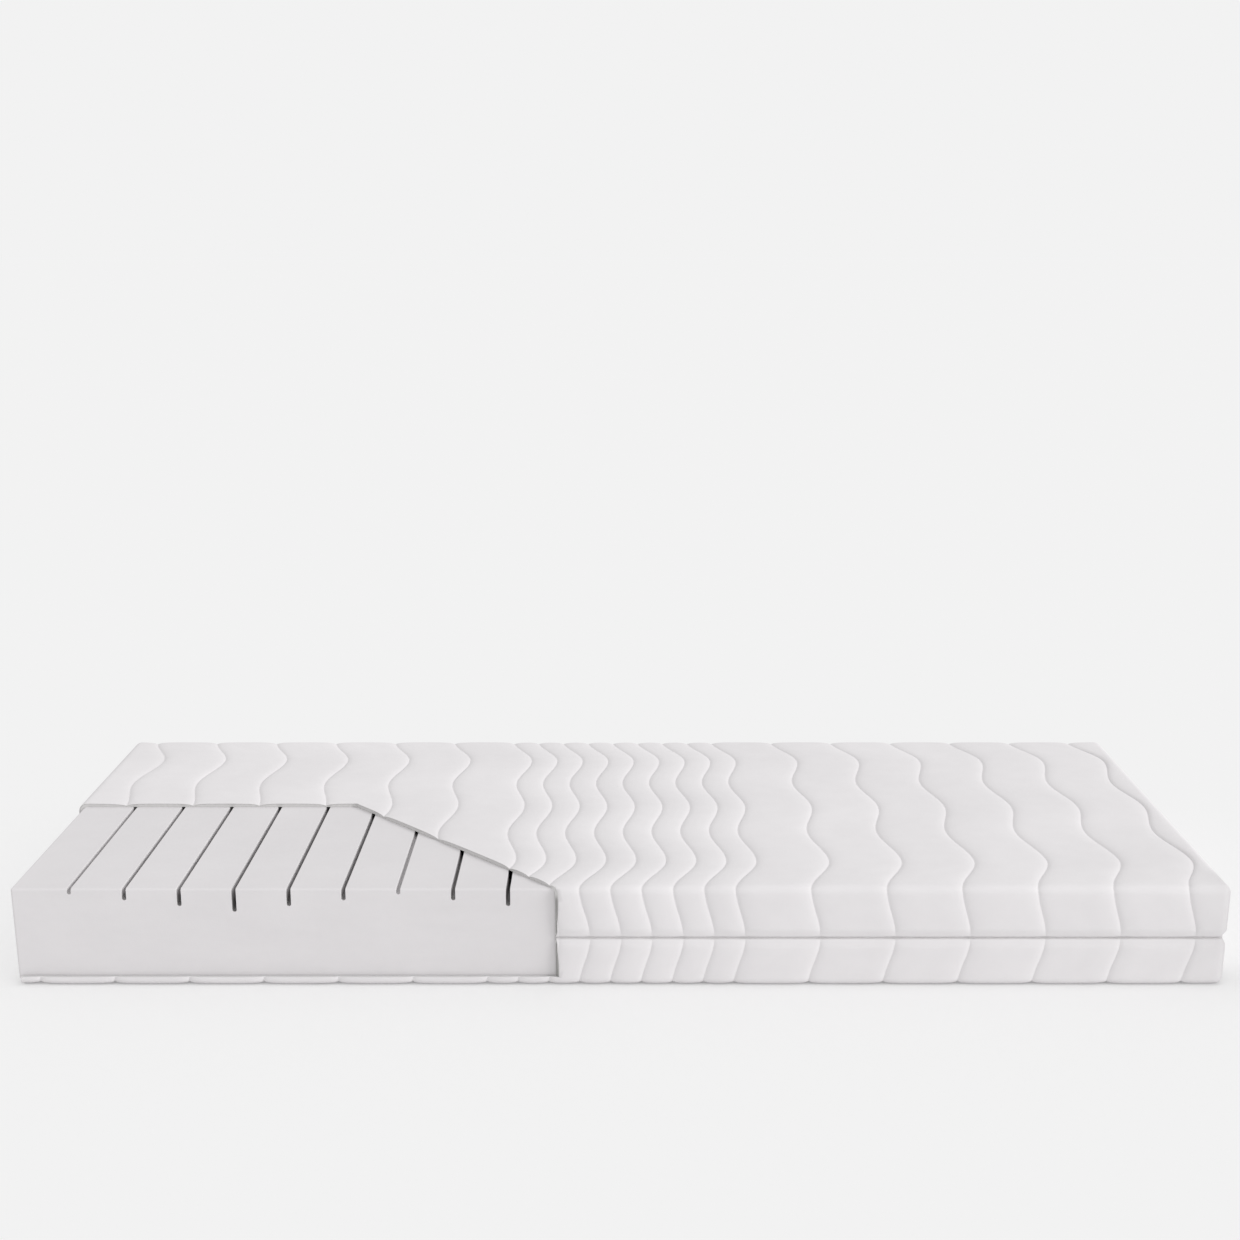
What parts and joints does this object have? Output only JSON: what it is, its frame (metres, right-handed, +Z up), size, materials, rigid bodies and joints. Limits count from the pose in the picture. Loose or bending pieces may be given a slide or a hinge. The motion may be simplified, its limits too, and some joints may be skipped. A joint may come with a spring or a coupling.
{
  "type": "foam mattress",
  "caption": "Foam mattress in a wave-quilted two-part zip-off cover, shown with one corner of the cover cut away over the slit foam core.",
  "frame": {"origin": "middle of the underside, where the mattress stands on the bed base", "axes": "+X along the length, +Y across the width from the long side with the cutaway to the other long side, +Z up"},
  "size_m": [2, 0.9, 0.173],
  "materials": {
    "foam": "matte",
    "ticking": "matte",
    "wadding": "matte",
    "backing": "matte",
    "zip_tape": "matte",
    "zip_coil": "satin",
    "zip_metal": "satin"
  },
  "bodies": {
    "lower_cover": {"lower_ticking": "ticking", "lower_wadding": "wadding", "lower_backing": "backing", "lower_zip_tape": "zip_tape", "lower_zip_coil": "zip_coil", "lower_zip_stops": "zip_metal"},
    "core": {"foam_core": "foam"},
    "upper_cover": {"upper_ticking": "ticking", "upper_wadding": "wadding", "upper_backing": "backing", "upper_zip_tape": "zip_tape", "upper_zip_coil": "zip_coil", "upper_zip_stops": "zip_metal"},
    "slider": {"zip_slider": "zip_metal"},
    "pull": {"pull_tab": "zip_metal"}
  },
  "joints": [
    {"name": "core_lift", "type": "slide", "parent": "lower_cover", "child": "core", "axis": [0, 0, 1], "range_m": [0, 0.2]},
    {"name": "cover_lift", "type": "slide", "parent": "core", "child": "upper_cover", "axis": [0, 0, 1], "range_m": [0, 0.2]},
    {"name": "slider_run", "type": "slide", "parent": "lower_cover", "child": "slider", "axis": [-1, 0, 0], "range_m": [0, 1.85]},
    {"name": "pull_swing", "type": "hinge", "parent": "slider", "child": "pull", "pos_m": [0.915, 0.4475, 0.082], "axis": [0, 0, -1], "range_deg": [0, 180]}
  ]
}
